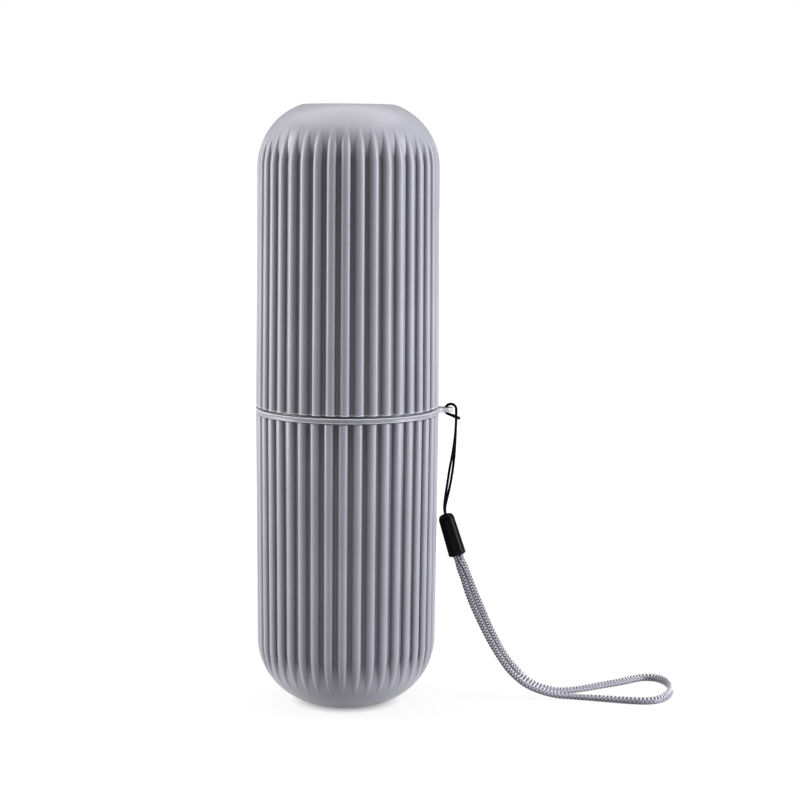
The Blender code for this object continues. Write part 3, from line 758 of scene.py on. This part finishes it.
def make_ring():
    """The band round the neck, and the lug that sticks out of it.

    The band is a rounded section turned round the axis. Three sines of the angle make its outer
    face swell and sink by a few hundredths, and one lifts and lowers it. A bead of flash stands
    out on its edges, and it and the lug's outer edges get a painted highlight. The lug is a ring
    of points that goes out from the hole's edge to an outline that is round at the tip, straight
    along the sides and flared into the band.
    """
    low, high = CUP_HEIGHT + GAP - 0.1, CUP_HEIGHT + GAP + RING_THICKNESS - 0.42
    section = rounded_section(NECK_RADIUS + GAP, JOINT_RADIUS, low, high, 0.30)
    from_edge = np.minimum(section[:, 1] - low, high - section[:, 1])
    # The outer edges: a real bead of flash, which the material also paints with a highlight.
    flash_and_highlight = (section[:, 0] > JOINT_RADIUS - 0.26) * (from_edge < 0.25) * 1.0
    section[:, 0] += 0.16 * flash_and_highlight
    angle = np.linspace(0, 2 * pi, 360, endpoint=False)
    swell = 0.03 * np.sin(9 * angle + 1.0) + 0.02 * np.sin(23 * angle)
    swell = swell + 0.015 * np.sin(41 * angle + 2.0)
    radius = section[:, :1] + swell * (section[:, :1] > NECK_RADIUS + 1.5)
    height = section[:, 1:] + 0.02 * np.sin(31 * angle + 0.6)
    rows = np.stack([radius * np.cos(angle), radius * np.sin(angle), height], -1)
    band, used = skin("milky_ring", rows)
    store(band, "flash_and_highlight", np.broadcast_to(flash_and_highlight[:, None], rows.shape[:2]).reshape(-1)[used])

    half, thick = LUG_WIDTH / 2, LUG_THICKNESS / 2
    root = JOINT_RADIUS - 2.0
    turn = np.linspace(0, 2 * pi, 96, endpoint=False)
    aim = np.stack([np.cos(turn), np.sin(turn)], 1)
    hole = np.array([LUG_HOLE_OUT, 0.0]) + LUG_HOLE_RADIUS * aim
    reach = half / np.maximum(np.abs(np.sin(turn)), 1e-9)
    tip_centre = LUG_TIP - half
    offset = LUG_HOLE_OUT - tip_centre
    to_tip = -aim[:, 0] * offset + np.sqrt((aim[:, 0] * offset) ** 2 - offset ** 2 + half ** 2)
    to_root = np.where(aim[:, 0] < -1e-6, (root - LUG_HOLE_OUT) / np.minimum(aim[:, 0], -1e-6), 1e9)
    straight = np.minimum(reach, to_root)
    out = np.where(LUG_HOLE_OUT + aim[:, 0] * to_tip > tip_centre, to_tip, straight)
    outline = np.array([LUG_HOLE_OUT, 0.0]) + aim * out[:, None]
    flare = 1 + 0.28 * smooth_step((JOINT_RADIUS + 1.6 - outline[:, 0]) / 1.8)
    outline[:, 1] *= flare
    edge = 0.42
    share = np.array([0.0, 0.02, 0.09, 0.25, 0.75, 0.90, 0.97, 1.0])
    lift = thick - np.array([edge, 0.12, 0.0, 0.0, 0.0, 0.05, 0.2, edge])
    rows = [
        np.concatenate([hole + (outline - hole) * s, np.full((len(turn), 1), RING_MIDDLE + z)], 1)
        for s, z in list(zip(share, lift)) + list(zip(share[::-1], -lift[::-1]))
    ]
    lug, used = skin("ring_lug", np.array(rows))
    # The lug's outer edges get a painted highlight, at 0.7.
    rim = 0.7 * (np.concatenate([share, share[::-1]]) > 0.94)
    store(lug, "flash_and_highlight", np.repeat(rim, len(turn))[used])
    merged = bmesh.new()
    merged.from_mesh(band)
    merged.from_mesh(lug)
    merged.to_mesh(band)
    merged.free()
    bpy.data.meshes.remove(lug)
    band.shade_smooth()
    band.set_sharp_from_angle(angle=radians(60))
    return place("milky_ring", band, ring_finish, "ring", "ring", "lanyard_ring")


make_ring()


# ------------------------------------------------------------------ floor, background and light
def floor_material():
    """Pale paper, which the camera and reflections see mixed with plain white.

    The ramp gives the share of white by the distance from the middle of the base, over 0.42 m:
    0.20 out to 12 mm, just past the edge of the base, 0.76 from 19 mm, then slowly up to all
    white. The low share under the base paints a darker ring of shade there, besides the real
    shadow. The rest is the paper's own shade, with the shadows that fall on it.
    """
    material = bpy.data.materials.new("pale_paper")
    material.use_nodes = True
    tree = material.node_tree
    tree.nodes.clear()
    out = add(tree, "OutputMaterial")
    paper = add(tree, "BsdfDiffuse", {"Color": colour("#A6A6AA")})
    white = add(tree, "Emission", {"Color": (1, 1, 1, 1), "Strength": 1.2})
    path = add(tree, "LightPath")
    seen = add(tree, "Math", {"operation": "MAXIMUM"}, i0=path.outputs["Is Camera Ray"],
               i1=path.outputs["Is Glossy Ray"])
    place_at = add(tree, "TexCoord").outputs["Object"]
    distance = add(tree, "VectorMath", {"operation": "LENGTH"}, i0=place_at)
    reach = add(tree, "MapRange", {"From Max": 0.42}, Value=distance.outputs["Value"])
    far = add(tree, "ValToRGB", Fac=reach.outputs["Result"])
    # Near the base the white share drops to 0.20, which paints shade round the base on top of its
    # real shadow.
    for at, level in ((0.029, 0.20), (0.046, 0.76), (0.38, 0.80)):
        far.color_ramp.elements.new(at).color = (level, level, level, 1)
    far.color_ramp.elements[0].color = (0.20, 0.20, 0.20, 1)
    share = add(tree, "Math", {"operation": "MULTIPLY"},
                i0=seen.outputs[0], i1=far.outputs["Color"])
    mixed = add(tree, "MixShader", i0=share.outputs[0], i1=paper.outputs[0], i2=white.outputs[0])
    tree.links.new(mixed.outputs[0], out.inputs["Surface"])
    return material


def make_floor():
    """A disc of paper, 6 m in radius, that the case stands on."""
    mesh = bpy.data.meshes.new("floor")
    bm = bmesh.new()
    bmesh.ops.create_circle(bm, cap_ends=True, segments=96, radius=6.0)
    bm.to_mesh(mesh)
    bm.free()
    mesh.materials.append(floor_material())
    floor = bpy.data.objects.new("floor", mesh)
    scene.collection.objects.link(floor)


def make_world():
    """White where the camera looks or a view goes through a piece, and nearly black otherwise.

    So nearly all the light comes from the softboxes, and reflections show them and the floor.
    """
    world = bpy.data.worlds.new("studio")
    scene.world = world
    world.use_nodes = True
    tree = world.node_tree
    background = tree.nodes["Background"]
    path = add(tree, "LightPath")
    seen = add(tree, "Math", {"operation": "MAXIMUM"}, i0=path.outputs["Is Camera Ray"],
               i1=path.outputs["Is Transmission Ray"])
    level = add(tree, "MapRange", {"To Min": 0.02, "To Max": 1.0}, Value=seen.outputs[0])
    background.inputs["Color"].default_value = (1, 1, 1, 1)
    tree.links.new(level.outputs["Result"], background.inputs["Strength"])


LIGHTS_AIM = (0.0, 0.0, 0.10)    # the point that the lights face, in metres


def make_light(name, bearing, height, distance, size, power, tint="#FFFFFF"):
    """An area light at a bearing from the front, in degrees to the right, aimed at the case.

    Height, distance and size are in metres, and power is in watts.
    """
    data = bpy.data.lights.new(name, "AREA")
    data.shape = "RECTANGLE"
    data.size, data.size_y = size
    data.energy = power
    data.color = colour(tint)[:3]
    light = bpy.data.objects.new(name, data)
    scene.collection.objects.link(light)
    turn = radians(bearing)
    place_at = Vector((distance * sin(turn), -distance * cos(turn), height))
    aim = Vector(LIGHTS_AIM) - place_at
    facing = aim.to_track_quat("-Z", "Y").to_matrix().to_4x4()
    light.matrix_world = Matrix.Translation(place_at) @ facing


make_floor()
make_world()
make_light("left_softbox", -90, 0.25, 0.9, (0.30, 0.9), 9.6)
make_light("right_softbox", 76, 0.25, 0.9, (0.30, 0.9), 10.3, "#F6F6FF")
make_light("top_softbox", 180, 1.8, 0.18, (2.2, 2.2), 34.0)
